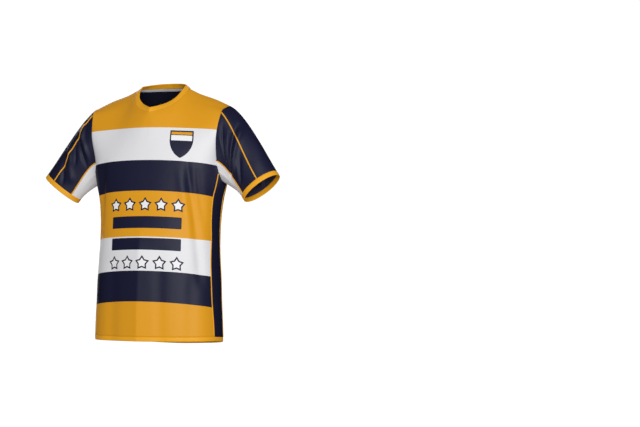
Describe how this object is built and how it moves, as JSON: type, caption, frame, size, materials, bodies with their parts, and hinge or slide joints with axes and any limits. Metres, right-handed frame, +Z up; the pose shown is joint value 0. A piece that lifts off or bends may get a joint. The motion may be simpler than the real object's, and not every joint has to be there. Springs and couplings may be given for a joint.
{
  "type": "rugby shirt",
  "caption": "Short-sleeved hooped rugby shirt with a small V-notched crew collar, plain side panels and piped sleeves, filled out as if worn, open at neck, hem and cuffs.",
  "frame": {"origin": "midway between the high points of the two shoulders, where the wearer's shoulders carry the shirt", "axes": "+Z up, +X towards the wearer's left, the front faces -Y"},
  "size_m": [0.757, 0.2645, 0.7598],
  "materials": {
    "hooped_jersey": "satin polyester jersey printed in gold, white and navy hoops",
    "navy_jersey": "satin polyester jersey, navy",
    "white_jersey": "satin polyester jersey, white",
    "gold_band": "doubled polyester band, gold",
    "gold_piping": "satin piping, gold",
    "neck_tape": "woven cotton tape, light grey"
  },
  "bodies": {
    "root": {"front_panel": "hooped_jersey", "back_panel": "hooped_jersey", "collar_band": "gold_band", "hem_band": "gold_band", "neck_tape": "neck_tape", "side_panel_left": "navy_jersey", "cuff_left": "gold_band", "sleeve_top_left": "navy_jersey", "sleeve_front_left": "navy_jersey", "sleeve_back_left": "navy_jersey", "sleeve_under_left": "white_jersey", "piping_side_front_left": "gold_piping", "piping_side_back_left": "gold_piping", "piping_sleeve_front_left": "gold_piping", "piping_sleeve_back_left": "gold_piping", "piping_under_front_left": "gold_piping", "piping_under_back_left": "gold_piping", "side_panel_right": "navy_jersey", "cuff_right": "gold_band", "sleeve_top_right": "navy_jersey", "sleeve_front_right": "navy_jersey", "sleeve_back_right": "navy_jersey", "sleeve_under_right": "white_jersey", "piping_side_front_right": "gold_piping", "piping_side_back_right": "gold_piping", "piping_sleeve_front_right": "gold_piping", "piping_sleeve_back_right": "gold_piping", "piping_under_front_right": "gold_piping", "piping_under_back_right": "gold_piping"}
  },
  "joints": []
}
